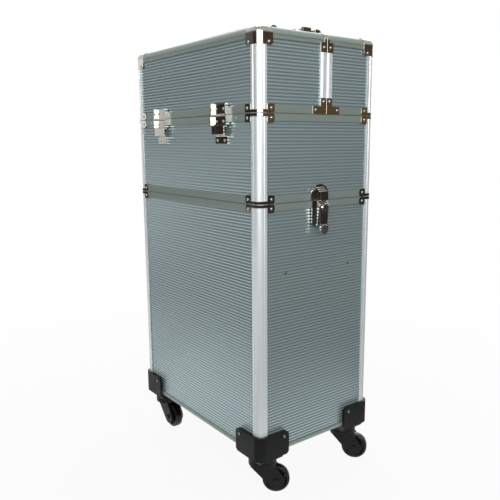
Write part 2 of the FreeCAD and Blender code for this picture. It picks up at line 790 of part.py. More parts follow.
# Carry handle and latches on top of the lid
def handle_bracket():
    # Foot plate and ear for the front end of the carry handle.
    y1 = -handle_half - ear_gap
    y0 = y1 - ear_thickness
    level = lid_top + handle_rise
    plate = box(handle_line - ear_plate_width / 2, handle_line + ear_plate_width / 2,
                y1 - ear_plate_length, y1, lid_top, lid_top + ear_plate)
    web = box(handle_line - ear_radius, handle_line + ear_radius, y0, y1, lid_top, level)
    eye = rod(ear_radius, Vector(handle_line, y0, level), Vector(handle_line, y1, level))
    bore = rod(handle_pin + pivot_play, Vector(handle_line, y0, level), Vector(handle_line, y1, level))
    return fuse([plate, web, eye]).cut(bore)


def carry_handle():
    # Flat bow that lies on the lid, thicker along its grip, with a pin at each end.
    level = lid_top + handle_rise

    def half_bow(inset):
        # Rounded outline of the bow's edge, from its pivot line outwards and along to the middle.
        reach = handle_line - handle_reach + inset
        side = -handle_half + inset
        bend = handle_bend - inset
        cut = bend * (1 - math.sqrt(0.5))
        a = Vector(handle_line, side, level)
        b = Vector(reach + bend, side, level)
        c = Vector(reach, side + bend, level)
        middle = Vector(reach + cut, side + cut, level)
        bend_arc = Part.Arc(b, middle, c).toShape()
        return [Part.makeLine(a, b), bend_arc, Part.makeLine(c, Vector(reach, 0, level))]

    outer = half_bow(0)
    inner = half_bow(handle_thickness)
    ends = [Part.makeLine(outer[0].Vertexes[0].Point, inner[0].Vertexes[0].Point),
            Part.makeLine(outer[2].Vertexes[1].Point, inner[2].Vertexes[1].Point)]
    face = Part.Face(Part.Wire(Part.__sortEdges__(outer + inner + ends)))
    half = face.extrude(along_z * handle_thickness).translated(-along_z * (handle_thickness / 2))
    bow = half.fuse(flip_y(half)).removeSplitter()
    bodies = [bow]
    for side in (-1, 1):
        inside = Vector(handle_line, side * (handle_half - handle_thickness), level)
        outside = Vector(handle_line, side * handle_half, level)
        tip = outside + along_y * (side * (ear_gap + ear_thickness))
        bodies += [rod(handle_knuckle, inside, outside), rod(handle_pin, outside, tip)]
    return fuse(bodies)


def latch_base(side):
    # Plate on the left half with two cheeks for the lever's pin.
    x1 = split_offset - split_gap / 2 - latch_gap
    x0 = x1 - latch_reach
    middle = side * latch_spread
    half = latch_width / 2 + latch_gap + latch_side
    plate = box(x0, x1, middle - half, middle + half, lid_top, lid_top + latch_plate)
    pivot = Vector(x0 + latch_pivot, middle, lid_top + latch_height / 2)
    bodies = [plate]
    for way in (-1, 1):
        inner = middle + way * (latch_width / 2 + latch_gap)
        y0, y1 = sorted((inner, inner + way * latch_side))
        bodies.append(box(x0, x0 + 2 * latch_pivot, y0, y1, lid_top, lid_top + latch_height))
    pin = rod(pin_radius, pivot - along_y * half, pivot + along_y * half)
    return fuse(bodies + [pin])


def latch_lever(side):
    # Lever that lies along the plate and lifts at the split.
    x1 = split_offset - split_gap / 2 - latch_gap
    x0 = x1 - latch_reach
    middle = side * latch_spread
    low = lid_top + latch_plate + latch_gap
    top = lid_top + latch_height
    pivot = Vector(x0 + latch_pivot, middle - latch_width / 2, lid_top + latch_height / 2)
    knuckle = latch_height / 2 - latch_plate - latch_gap
    profile = [(pivot.x, low), (x1, low), (x1, low + skin), (x1 - latch_pivot, top - skin), (pivot.x, top)]
    bar = outline([Vector(x, pivot.y, z) for x, z in profile]).extrude(along_y * latch_width)
    eye = Part.makeCylinder(knuckle, latch_width, pivot, along_y)
    bore = Part.makeCylinder(pin_radius + pivot_play, latch_width, pivot, along_y)
    return fuse([bar, eye]).cut(bore)


def latch_strike(side):
    # Catch on the right half, sloped like the lever that it meets.
    x0 = split_offset + split_gap / 2 + latch_gap
    x1 = x0 + strike_reach
    middle = side * latch_spread
    half = latch_width / 2
    foot = lid_top + latch_plate
    top = lid_top + latch_height
    plate = box(x0, x1, middle - half - latch_side, middle + half + latch_side, lid_top, foot)
    profile = [(x0, lid_top), (x0, top - skin), (x0 + skin, top), (x0 + latch_pivot, top),
               (x1 - skin, foot), (x1 - skin, lid_top)]
    block = outline([Vector(x, middle - half, z) for x, z in profile]).extrude(along_y * latch_width)
    return fuse([plate, block])


# Trays and their arms, made for the left and mirrored for the right
def link_span(width):
    return width - link_margin


def tray(width):
    # Open box with dividers, hung on the lid's studs and the arms' pins.
    x0 = -tray_edge
    x1 = x0 + width - tray_margin
    z0 = upper_seam + tray_bottom_rise
    z1 = z0 + tray_height
    shell = box(x0, x1, -tray_half, tray_half, z0, z1)
    inner_half = tray_half - tray_wall
    hollow = box(x0 + tray_wall, x1 - tray_wall, -inner_half, inner_half, z0 + tray_floor, z1)
    bodies = [shell.cut(hollow)]
    for i in range(1, divider_count + 1):
        y = -inner_half + 2 * inner_half * i / (divider_count + 1) - divider_wall / 2
        bodies.append(box(x0 + tray_wall, x1 - tray_wall, y, y + divider_wall, z0, z1 - tray_wall))
    arm_end = Vector(-arm_line + link_span(width), 0, arm_level + link_rise)
    lid_end = Vector(-hinge_pivot + link_span(width), 0, link_level)
    pin_length = arm_gap + arm_sheet
    for side in (-1, 1):
        wall = along_y * (side * tray_half)
        bodies.append(rod(stud_radius, arm_end + wall, arm_end + wall + along_y * (side * pin_length)))
    bore = rod(stud_radius + pivot_play, lid_end - along_y * tray_half, lid_end + along_y * tray_half)
    return fuse(bodies).cut(bore.cut(hollow))


def arm(width):
    # Flat link with round ends between the case's stud and the tray's pin.
    start = Vector(-arm_line, -tray_half - arm_gap - arm_sheet, arm_level)
    end = start + Vector(link_span(width), 0, link_rise)
    across = (end - start).cross(along_y)
    across = across * (arm_width / 2 / across.Length)
    thickness = along_y * arm_sheet
    bar = outline([start + across, end + across, end - across, start - across]).extrude(thickness)
    ends = [Part.makeCylinder(arm_width / 2, arm_sheet, point, along_y) for point in (start, end)]
    link = fuse([bar] + ends)
    for point in (start, end):
        link = link.cut(Part.makeCylinder(stud_radius + pivot_play, arm_sheet, point, along_y))
    return link


def stud(x, z, tip):
    # Stud with a hexagonal shoulder on the inside of a front board.
    wall = -half_depth + board_face
    shoulder = -tray_half - arm_gap - arm_sheet - pivot_play
    corners = [math.radians(60 * i) for i in range(6)]
    points = [Vector(x + stud_shoulder * math.cos(a), wall, z + stud_shoulder * math.sin(a)) for a in corners]
    hexagon = outline(points).extrude(along_y * (shoulder - wall))
    return fuse([hexagon, rod(stud_radius, Vector(x, shoulder, z), Vector(x, tip, z))])


def make_base():
    sill_level = base_bottom
    rails = side_rails(ledge_section, sill_level, along_z, sill_face, 0)
    rails += side_rails(rim_section, lower_seam, -along_z, rail_face)
    save("base_boards", tier_boards(base_bottom + rail_web, lower_seam - rail_web))
    save("base_floor", [floor_plate(base_bottom + skin)])
    save("base_corner_posts", corner_posts(base_bottom, lower_seam))
    save("base_rails", rails)
    save("base_corner_brackets", four_corners(seam_bracket(lower_seam, -1)))
    save("caster_boots", four_corners(boot()))
    save("lock_bases", front_and_back([lock_base()]))
    save("lock_lever_front", [lock_lever()])
    save("lock_lever_back", [flip_y(lock_lever())])


def make_casters():
    for corner in rest_headings:
        save(f"caster_fork_{corner}", [at_caster(fork(), corner)])
        save(f"caster_wheel_{corner}", [at_caster(wheel(), corner)])


def make_pull_handle():
    inner_width = tube_width - 2 * (tube_wall + tube_play)
    inner_depth = tube_depth - 2 * (tube_wall + tube_play)
    sleeve = tube(tube_width, tube_depth, tube_wall, tube_start, tube_end)
    slider = tube(inner_width, inner_depth, inner_wall, tube_start + inner_inset, grip_bottom)
    clamp_levels = (tube_start + clamp_margin, tube_end - clamp_margin - clamp_height)
    save("pull_handle_sleeves", left_and_right([sleeve]))
    save("pull_handle_clamps", left_and_right([tube_clamp(level) for level in clamp_levels]))
    save("pull_handle_tubes", left_and_right([slider]))
    save("pull_handle_grip", [pull_grip()])
    save("pull_handle_button", [pull_button()])


def make_upper_case():
    rails = side_rails(ledge_section, lower_seam, along_z, rail_face, ledge_height)
    rails += side_rails(rim_section, upper_seam, -along_z, rail_face)
    save("upper_boards", tier_boards(lower_seam + rail_web, upper_seam - rail_web))
    save("upper_floor", [floor_plate(lower_seam + ledge_height + skin)])
    save("upper_corner_posts", corner_posts(lower_seam, upper_seam))
    save("upper_rails", rails)
    save("upper_corner_brackets",
         four_corners(seam_bracket(lower_seam, 1)) + four_corners(seam_bracket(upper_seam, -1)))
    save("hinge_case_leaves", four_corners(case_leaf(-hinge_spread)))
    save("lock_strikes", front_and_back([lock_strike()]))
    tip = -tray_half - arm_gap / 2
    save("arm_studs", four_corners(stud(-arm_line, arm_level, tip)))


def make_lid(name, side):
    width = lid_width(side)
    place = flip_x if name == "right" else (lambda shape: shape)

    def keep(label, solids):
        save(f"lid_{name}_{label}", [place(solid) for solid in solids])

    keep("boards", lid_boards(width))
    keep("frame", lid_frame(width))
    keep("corner_caps", front_and_back([corner_cap()]))
    keep("brackets", front_and_back([seam_bracket(upper_seam, 1)] + split_bracket(width)))
    keep("hinge_leaves", front_and_back([lid_leaf(-hinge_spread)]))
    stud_x = -hinge_pivot + link_span(width)
    keep("tray_studs", front_and_back([stud(stud_x, link_level, -tray_half + tray_wall / 2)]))
    save(f"tray_{name}", [place(tray(width))])
    save(f"tray_arms_{name}", [place(solid) for solid in front_and_back([arm(width)])])


def make_top_fittings():
    save("handle_brackets", front_and_back([handle_bracket()]))
    save("carry_handle", [carry_handle()])
    save("latch_bases", [latch_base(side) for side in (-1, 1)])
    save("latch_lever_front", [latch_lever(-1)])
    save("latch_lever_back", [latch_lever(1)])
    save("latch_strikes", [latch_strike(side) for side in (-1, 1)])


os.makedirs("parts", exist_ok=True)
make_base()
make_casters()
make_pull_handle()
make_upper_case()
make_lid("left", 1)
make_lid("right", -1)
make_top_fittings()
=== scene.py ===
import json
import math

import bpy
from mathutils import Matrix, Vector


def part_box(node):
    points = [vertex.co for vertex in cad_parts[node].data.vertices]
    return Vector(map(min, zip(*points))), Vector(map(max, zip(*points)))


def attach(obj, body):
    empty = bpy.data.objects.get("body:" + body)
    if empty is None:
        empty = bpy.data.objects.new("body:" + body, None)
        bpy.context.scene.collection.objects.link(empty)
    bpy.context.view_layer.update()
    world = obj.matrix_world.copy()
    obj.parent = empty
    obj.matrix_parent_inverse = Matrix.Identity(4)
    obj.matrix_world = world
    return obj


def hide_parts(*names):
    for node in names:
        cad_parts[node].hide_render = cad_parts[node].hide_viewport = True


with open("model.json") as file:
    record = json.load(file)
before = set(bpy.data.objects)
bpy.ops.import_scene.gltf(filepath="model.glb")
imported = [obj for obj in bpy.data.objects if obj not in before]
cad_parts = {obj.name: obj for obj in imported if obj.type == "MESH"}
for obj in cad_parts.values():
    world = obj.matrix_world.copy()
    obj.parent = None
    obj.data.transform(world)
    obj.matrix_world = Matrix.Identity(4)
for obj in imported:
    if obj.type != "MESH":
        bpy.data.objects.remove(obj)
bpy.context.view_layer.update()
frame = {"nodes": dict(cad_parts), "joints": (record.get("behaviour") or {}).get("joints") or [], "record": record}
nodes = frame["nodes"]
record = frame["record"]
slots = {part["node"]: part["material_slot"] for part in record["subparts"]}
bodyOf = {node: body for body, members in record["behaviour"]["bodies"].items() for node in members}
joints = {joint["name"]: joint for joint in frame["joints"]}
perMetre = 1000  # sizes of fasteners and wheels below are in mm
bothSides = (-1, 1)
print("frame loaded:", len(nodes), "nodes")


# camera at the photograph's angle
view = {
    "place": (-0.6474, -0.8650, 0.5639),
    "azimuth": 233.07,
    "elevation": 10.22,
    "roll": -0.40,
    "focalPixels": 597.98,
    "imagePixels": 500,
    "sensor": 36.0,
    "clipStart": 0.01,
}


def addCamera():
    azimuth, elevation, roll = (math.radians(view[key]) for key in ("azimuth", "elevation", "roll"))
    back = Vector((math.cos(azimuth) * math.cos(elevation), math.sin(azimuth) * math.cos(elevation),
                   math.sin(elevation)))
    right = Vector((0, 0, 1)).cross(back).normalized()
    right = math.cos(roll) * right + math.sin(roll) * back.cross(right)
    up = back.cross(right)
    bpy.ops.object.camera_add()
    camera = bpy.context.object
    turn = Matrix((right, up, back)).transposed().to_4x4()
    camera.matrix_world = Matrix.Translation(view["place"]) @ turn
    camera.data.sensor_width = view["sensor"]
    camera.data.lens = view["focalPixels"] / view["imagePixels"] * view["sensor"]
    camera.data.clip_start = view["clipStart"]
    bpy.context.scene.camera = camera


addCamera()
bpy.context.scene.view_settings.view_transform = "Standard"
print("camera placed")


# node helpers for the finishes
def link(material, source, target):
    material.node_tree.links.new(source, target)


def addNode(material, kind, **settings):
    node = material.node_tree.nodes.new(kind)
    for name, value in settings.items():
        setattr(node, name, value)
    return node


def calc(material, operation, *values):
    node = addNode(material, "ShaderNodeMath", operation=operation)
    for socket, value in zip(node.inputs, values):
        if isinstance(value, (int, float)):
            socket.default_value = value
        else:
            link(material, value, socket)
    return node.outputs[0]


def along(material, coords, way):
    # how far a point or direction reaches along this way
    node = addNode(material, "ShaderNodeVectorMath", operation="DOT_PRODUCT")
    link(material, coords, node.inputs[0])
    node.inputs[1].default_value = way
    return node.outputs["Value"]


def towards(material, coords, way):
    # 0 where a direction points away from this way, 1 where it points along it
    return calc(material, "MULTIPLY_ADD", along(material, coords, way), 0.5, 0.5)


def ramp(material, factor, stops):
    node = addNode(material, "ShaderNodeValToRGB")
    elements = node.color_ramp.elements
    while len(elements) < len(stops):
        elements.new(0.5)  # moved to its stop below
    for element, (stop, colour) in zip(elements, stops):
        element.position = stop
        element.color = (*colour, 1)
    link(material, factor, node.inputs[0])
    return node.outputs[0]


def greyRamp(material, factor, stops):
    return ramp(material, factor, [(stop, grey(value)) for stop, value in stops])


def mapped(material, value, start, end, low, high):
    node = addNode(material, "ShaderNodeMapRange")
    for name, number in (("From Min", start), ("From Max", end), ("To Min", low), ("To Max", high)):
        node.inputs[name].default_value = number
    link(material, value, node.inputs["Value"])
    return node.outputs[0]


# a Mix node has its two colours at inputs 6 and 7 and the result at output 2
def mixColour(material, factor, first, second):
    node = addNode(material, "ShaderNodeMix", data_type="RGBA")
    link(material, factor, node.inputs[0])
    for socket, value in ((node.inputs[6], first), (node.inputs[7], second)):
        if isinstance(value, tuple):
            socket.default_value = (*value, 1)
        else:
            link(material, value, socket)
    return node.outputs[2]


def toned(material, colour, tone):
    # darkens or lightens a colour by a grey tone
    node = addNode(material, "ShaderNodeMix", data_type="RGBA", blend_type="MULTIPLY")
    node.inputs[0].default_value = 1.0
    link(material, colour, node.inputs[6])
    link(material, tone, node.inputs[7])
    return node.outputs[2]


def grey(value):
    return (value, value, value)


def linear(red, green, blue):
    # from screen values of 0 to 255
    return tuple(((c / 255 + 0.055) / 1.055) ** 2.4 for c in (red, green, blue))


def shade(colour, factor):
    return tuple(c * factor for c in colour)


def blank(name, metallic, roughness):
    material = bpy.data.materials.new(name)
    material.use_nodes = True
    shader = material.node_tree.nodes["Principled BSDF"]
    shader.inputs["Metallic"].default_value = metallic
    shader.inputs["Roughness"].default_value = roughness
    return material, shader


def pointOn(material):
    # X, Y and Z of the point on the object
    coords = addNode(material, "ShaderNodeTexCoord")
    split = addNode(material, "ShaderNodeSeparateXYZ")
    link(material, coords.outputs["Object"], split.inputs[0])
    return split.outputs


evenly = (1, 1, 1)
noiseDetail = 2.0
noiseReach = (0.3, 0.7)  # most of the noise lies between these


def noise(material, scale, size=1.0):
    coords = addNode(material, "ShaderNodeTexCoord")
    mapping = addNode(material, "ShaderNodeMapping")
    mapping.inputs["Scale"].default_value = scale
    texture = addNode(material, "ShaderNodeTexNoise")
    texture.inputs["Scale"].default_value = size
    texture.inputs["Detail"].default_value = noiseDetail
    link(material, coords.outputs["Object"], mapping.inputs["Vector"])
    link(material, mapping.outputs[0], texture.inputs["Vector"])
    return texture.outputs["Fac"]


def overNoise(material, grain, low, high):
    return ramp(material, grain, list(zip(noiseReach, (low, high))))


def variedColour(material, grain, colour, change):
    return overNoise(material, grain, shade(colour, 1 - change), shade(colour, 1 + change))


def varyRoughness(material, shader, grain, roughness, change):
    rough = overNoise(material, grain, grey(roughness - change), grey(roughness + change))
    link(material, rough, shader.inputs["Roughness"])


def addBump(material, shader, height, strength, distance):
    bump = addNode(material, "ShaderNodeBump")
    bump.inputs["Strength"].default_value = strength
    bump.inputs["Distance"].default_value = distance
    link(material, height, bump.inputs["Height"])
    link(material, bump.outputs[0], shader.inputs["Normal"])


# ribbed boards: brushed facing outside, dark lining inside; painted shade in the rib valleys and painted highlight
# on the crests, far stronger near the floor
boardLook = {
    "colour": linear(165, 183, 186), "metallic": 0.66, "roughness": 0.27,
    "lining": linear(34, 34, 37), "liningRoughness": 0.95,
    "ribDepth": 0.0005, "skinDepth": 0.0019,
    # painted shade in the rib valleys and painted highlight on the crests, higher up the wall and near the floor
    "ribs": [(0.0, 0.8), (1.0, 1.02)],
    "footRibShade": [(0.0, 0.3), (0.6, 1.28)], "footShadeFrom": 0.15, "footShadeTo": 0.58,
    "streaks": (4, 4, 900), "change": 0.05, "bump": 0.02, "bumpDepth": 0.0002,
}


def boardMaterial():
    material, shader = blank("ribbed facing", boardLook["metallic"], boardLook["roughness"])
    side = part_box("base_boards")[1]
    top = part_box("lid_left_boards")[1]
    height = None  # above the valleys of the ribs, which face outwards on every board
    axes = pointOn(material)
    for axis, crest in zip(axes, (side.x, side.y, top.z)):
        rise = calc(material, "SUBTRACT", calc(material, "ABSOLUTE", axis), crest - boardLook["ribDepth"])
        height = rise if height is None else calc(material, "MAXIMUM", height, rise)
    outside = calc(material, "GREATER_THAN", height, boardLook["ribDepth"] - boardLook["skinDepth"])
    share = calc(material, "DIVIDE", height, boardLook["ribDepth"])
    # painted shade and highlight: valleys darker and crests lighter, mild higher up and far stronger near the
    # floor, standing in for the floor's reflection there
    upperRibShade = greyRamp(material, share, boardLook["ribs"])
    lowRibShade = greyRamp(material, share, boardLook["footRibShade"])
    level = mapped(material, axes[2], boardLook["footShadeFrom"], boardLook["footShadeTo"], 0.0, 1.0)
    # ribs holds the painted rib shade and highlight, blended by height
    ribs = mixColour(material, level, lowRibShade, upperRibShade)
    streaks = noise(material, boardLook["streaks"])
    facing = variedColour(material, streaks, boardLook["colour"], boardLook["change"])
    colour = mixColour(material, outside, boardLook["lining"], toned(material, facing, ribs))
    link(material, colour, shader.inputs["Base Color"])
    link(material, calc(material, "MULTIPLY", outside, boardLook["metallic"]), shader.inputs["Metallic"])
    rough = calc(material, "MULTIPLY_ADD", outside, boardLook["roughness"] - boardLook["liningRoughness"],
                 boardLook["liningRoughness"])
    link(material, rough, shader.inputs["Roughness"])
    addBump(material, shader, streaks, boardLook["bump"], boardLook["bumpDepth"])
    return material


# anodised extrusions: the corner uprights are brushed up and down, the rails have an even grain; the uprights'
# near-white colour is partly their pale anodising and partly a painted sheen for the light their brushing catches
extrusionLook = {"change": 0.035, "roughChange": 0.04, "bump": 0.05, "bumpDepth": 0.0002}
uprightSheenLook = {"colour": linear(238, 244, 245), "metallic": 0.55, "roughness": 0.4,
               "grain": (1200, 1200, 3)}
railLook = {"colour": linear(149, 162, 156), "metallic": 0.5, "roughness": 0.36,
            "grain": (1500, 1500, 1500)}
# painted shade along the seams between the tiers: how far below the rail tops, how wide and how dark
seamShadeLook = {"tongue": 0.005, "half": 0.0008, "tone": 0.5}


def extrusion(name, look):
    material, shader = blank(name, look["metallic"], look["roughness"])
    grain = noise(material, look["grain"])
    varyRoughness(material, shader, grain, look["roughness"], extrusionLook["roughChange"])
    addBump(material, shader, grain, extrusionLook["bump"], extrusionLook["bumpDepth"])
    return material, shader, variedColour(material, grain, look["colour"], extrusionLook["change"])


def seamShade(material, z):
    # painted shade: the rims are darkened along the seams between the tiers, where the gap between them is shaded
    inSeamShade = None
    for rails in ("base_rails", "upper_rails"):
        near = calc(material, "COMPARE", z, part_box(rails)[1].z - seamShadeLook["tongue"], seamShadeLook["half"])
        inSeamShade = near if inSeamShade is None else calc(material, "MAXIMUM", inSeamShade, near)
    return greyRamp(material, inSeamShade, [(0.0, 1.0), (1.0, seamShadeLook["tone"])])


def uprightMaterial():
    material, shader, colour = extrusion("anodised upright", uprightSheenLook)
    link(material, colour, shader.inputs["Base Color"])
    return material


def railMaterial():
    material, shader, colour = extrusion("anodised rail", railLook)
    # painted shade along the seams
    tone = seamShade(material, pointOn(material)[2])
    link(material, toned(material, colour, tone), shader.inputs["Base Color"])
    return material


# one node holds a lid half's uprights and rails, told apart by their place
lidFrameLook = {
    "cornerX": 0.1034, "cornerY": 0.1674,
    "stripY": 0.175, "stripMiddle": 0.012, "stripHalf": 0.0125, "stripLow": 0.6164, "stripHigh": 0.7081,
    "grain": (1200, 1200, 1200), "tones": [0.96, 1.0],
}


def lidFrameMaterial():
    material, shader = blank("anodised lid frame", railLook["metallic"], railLook["roughness"])
    x, y, z = pointOn(material)
    beside = calc(material, "ABSOLUTE", y)
    wide = calc(material, "GREATER_THAN", calc(material, "ABSOLUTE", x), lidFrameLook["cornerX"])
    deep = calc(material, "GREATER_THAN", beside, lidFrameLook["cornerY"])
    corner = calc(material, "MULTIPLY", wide, deep)
    strip = calc(material, "COMPARE", x, lidFrameLook["stripMiddle"], lidFrameLook["stripHalf"])
    for test, value, limit in (("GREATER_THAN", beside, "stripY"), ("GREATER_THAN", z, "stripLow"),
                               ("LESS_THAN", z, "stripHigh")):
        strip = calc(material, "MULTIPLY", strip, calc(material, test, value, lidFrameLook[limit]))
    upright = calc(material, "MAXIMUM", corner, strip)
    grain = noise(material, lidFrameLook["grain"])
    tone = overNoise(material, grain, *(grey(value) for value in lidFrameLook["tones"]))
    # the uprights take the paler colour, partly a painted sheen for the light their brushing catches
    colour = mixColour(material, upright, railLook["colour"], uprightSheenLook["colour"])
    # the grain's tone and the painted shade along the seams
    colour = toned(material, toned(material, colour, tone), seamShade(material, z))
    link(material, colour, shader.inputs["Base Color"])
    metallic = calc(material, "MULTIPLY_ADD", upright, uprightSheenLook["metallic"] - railLook["metallic"],
                    railLook["metallic"])
    link(material, metallic, shader.inputs["Metallic"])
    addBump(material, shader, grain, extrusionLook["bump"], extrusionLook["bumpDepth"])
    return material


# plated metals
metalChange = 0.05
chromeLook = {"colour": linear(214, 210, 203), "roughness": 0.08, "grain": 90.0, "roughChange": 0.03}
steelLook = {"colour": linear(170, 172, 174), "roughness": 0.35, "grain": 300.0, "roughChange": 0.08}
screwLook = {"colour": linear(150, 146, 140), "roughness": 0.1, "grain": 300.0, "roughChange": 0.05}


def metalMaterial(name, look):
    material, shader = blank(name, 1.0, look["roughness"])
    grain = noise(material, evenly, look["grain"])
    colour = variedColour(material, grain, look["colour"], metalChange)
    link(material, colour, shader.inputs["Base Color"])
    varyRoughness(material, shader, grain, look["roughness"], look["roughChange"])
    return material


# moulded plastics
mouldedLook = {"grain": 60.0, "change": 0.12, "roughChange": 0.05,
               "pores": 1400.0, "bump": 0.1, "bumpDepth": 0.0003}
plasticLook = {"colour": linear(20, 22, 22), "roughness": 0.45, "gloss": 0.2}
wheelLook = {"colour": linear(20, 22, 22), "roughness": 0.3, "gloss": 0.3}
trayLook = {"colour": linear(40, 40, 43), "roughness": 0.55, "gloss": 0.4}


def plasticMaterial(name, look):
    material, shader = blank(name, 0.0, look["roughness"])
    shader.inputs["Specular IOR Level"].default_value = look["gloss"]
    grain = noise(material, evenly, mouldedLook["grain"])
    colour = variedColour(material, grain, look["colour"], mouldedLook["change"])
    link(material, colour, shader.inputs["Base Color"])
    varyRoughness(material, shader, grain, look["roughness"], mouldedLook["roughChange"])
    pores = noise(material, evenly, mouldedLook["pores"])
    addBump(material, shader, pores, mouldedLook["bump"], mouldedLook["bumpDepth"])
    return material


boardFinish = boardMaterial()
railFinish = railMaterial()
uprightFinish = uprightMaterial()
lidFrameFinish = lidFrameMaterial()
chromeFinish = metalMaterial("polished chrome", chromeLook)
steelFinish = metalMaterial("plated steel", steelLook)
screwFinish = metalMaterial("dark plated screw", screwLook)
plasticFinish = plasticMaterial("moulded plastic", plasticLook)
wheelFinish = plasticMaterial("wheel rubber", wheelLook)
trayFinish = plasticMaterial("tray plastic", trayLook)

finishes = {"board": boardFinish, "extrusion": railFinish, "chrome": chromeFinish, "steel": steelFinish,
            "black_plastic": plasticFinish, "wheel": wheelFinish, "tray": trayFinish}


def dress(piece, material):
    piece.data.materials.clear()
    piece.data.materials.append(material)


def finishOf(node):
    if node.endswith("posts"):
        return uprightFinish
    if node.endswith("frame"):
        return lidFrameFinish
    return finishes[slots[node]]


for name, node in nodes.items():
    dress(node, finishOf(name))
print("finishes made")


# modelling helpers
weld = 1e-6


def only(*pieces):
    bpy.ops.object.select_all(action="DESELECT")
    for piece in pieces:
        piece.select_set(True)
    bpy.context.view_layer.objects.active = pieces[0]


def edit(piece):
    only(piece)
    bpy.ops.object.mode_set(mode="EDIT")
    bpy.ops.mesh.select_all(action="SELECT")


def leaveEdit():
    bpy.ops.object.mode_set(mode="OBJECT")


def applyModifier(piece, kind, **settings):
    only(piece)
    modifier = piece.modifiers.new(kind, kind)
    for name, value in settings.items():
        setattr(modifier, name, value)
    bpy.ops.object.modifier_apply(modifier=modifier.name)


def smooth(piece, degrees):
    only(piece)
    bpy.ops.object.shade_smooth_by_angle(angle=math.radians(degrees))


def settle(piece):
    only(piece)
    bpy.ops.object.transform_apply(location=True, rotation=True, scale=True)


def fix(piece, name, body, finish):
    piece.name = name
    dress(piece, finish)
    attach(piece, body)


# CAD pieces with the edges that pressing, casting and moulding leave round: width in mm and steps
roundings = {
    "base_corner_brackets": (0.35, 2), "upper_corner_brackets": (0.35, 2),
    "lid_left_brackets": (0.35, 2), "lid_right_brackets": (0.35, 2),
    "lid_left_corner_caps": (0.35, 2), "lid_right_corner_caps": (0.35, 2),
    "hinge_case_leaves": (0.5, 3), "lid_left_hinge_leaves": (0.5, 3), "lid_right_hinge_leaves": (0.5, 3),
    "lock_bases": (0.5, 2), "lock_strikes": (0.6, 3),
    "lock_lever_front": (0.6, 3), "lock_lever_back": (0.6, 3),
    "latch_bases": (0.4, 2), "latch_strikes": (0.5, 3),
    "latch_lever_front": (0.6, 3), "latch_lever_back": (0.6, 3),
    "handle_brackets": (0.6, 2), "carry_handle": (4.5, 4),
    "caster_boots": (1.6, 3),
    "caster_fork_front_left": (1.5, 3), "caster_fork_front_right": (1.5, 3),
    "caster_fork_back_left": (1.5, 3), "caster_fork_back_right": (1.5, 3),
    "pull_handle_grip": (2.5, 4), "pull_handle_clamps": (0.8, 2), "pull_handle_button": (0.8, 2),
    "tray_left": (0.7, 2), "tray_right": (0.7, 2),
    "base_rails": (0.7, 2), "upper_rails": (0.7, 2),
    "base_corner_posts": (0.35, 2), "upper_corner_posts": (0.35, 2),
}
edgeAngles = {"flat": 1, "rounded": 35, "smooth": 40}


def softCopy(node, width, steps):
    piece = bpy.data.objects.new(node, nodes[node].data.copy())
    bpy.context.scene.collection.objects.link(piece)
    edit(piece)
    bpy.ops.mesh.remove_doubles(threshold=weld)
    bpy.ops.mesh.dissolve_limited(angle_limit=math.radians(edgeAngles["flat"]))
    leaveEdit()
    applyModifier(piece, "BEVEL", width=width / perMetre, segments=steps, limit_method="ANGLE",
                  angle_limit=math.radians(edgeAngles["rounded"]))
    smooth(piece, edgeAngles["smooth"])
    applyModifier(piece, "WEIGHTED_NORMAL", keep_sharp=True)
    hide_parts(node)
    fix(piece, "rounded_" + node, bodyOf[node], finishOf(node))


for node, (width, steps) in roundings.items():
    softCopy(node, width, steps)
print("edges rounded on", len(roundings), "pieces")


# rivets, screws and axle caps: a domed head modelled once and copied
headShape = {"segments": 16, "rings": 8, "slotLength": 1.2, "slotDepth": 0.9, "smooth": 40}


def domeHead(shape):
    radius = shape["radius"] / perMetre
    height = shape["height"] / perMetre
    bpy.ops.object.select_all(action="DESELECT")
    bpy.ops.mesh.primitive_uv_sphere_add(segments=headShape["segments"], ring_count=headShape["rings"],
                                         radius=radius)
    head = bpy.context.object
    edit(head)
    bpy.ops.mesh.bisect(plane_co=(0, 0, 0), plane_no=(0, 0, 1), clear_inner=True, use_fill=True)
    bpy.ops.mesh.select_all(action="SELECT")
    bpy.ops.transform.resize(value=(1, 1, height / radius))
    leaveEdit()
    if "slot" in shape:
        for turn in (0, math.pi / 2):
            bpy.ops.mesh.primitive_cube_add(size=1, location=(0, 0, height), rotation=(0, 0, turn))
            cutter = bpy.context.object
            cutter.scale = (radius * headShape["slotLength"], shape["slot"] / perMetre,
                            height * headShape["slotDepth"])
            applyModifier(head, "BOOLEAN", object=cutter, operation="DIFFERENCE")
            bpy.data.objects.remove(cutter)
    smooth(head, headShape["smooth"])
    return head


def scatter(name, body, finish, head, places):
    copies = []
    for point, normal in places:
        copy = bpy.data.objects.new(name, head.data.copy())
        bpy.context.scene.collection.objects.link(copy)
        turn = Vector(normal).to_track_quat("Z", "Y").to_matrix().to_4x4()
        copy.matrix_world = Matrix.Translation(Vector(point) / perMetre) @ turn
        copies.append(copy)
    only(*copies)
    bpy.ops.object.join()
    settle(copies[0])
    fix(copies[0], name, body, finish)


# the case in mm: half width, half depth, seams between the tiers, lid top, both sides of the lid's split
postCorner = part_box("base_corner_posts")[1] * perMetre
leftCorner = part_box("lid_left_frame")[1] * perMetre
case = {"x": postCorner.x, "y": postCorner.y, "lowSeam": postCorner.z,
        "highSeam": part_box("upper_corner_posts")[1].z * perMetre, "top": leftCorner.z,
        "leftSplit": leftCorner.x, "rightSplit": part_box("lid_right_frame")[0].x * perMetre}

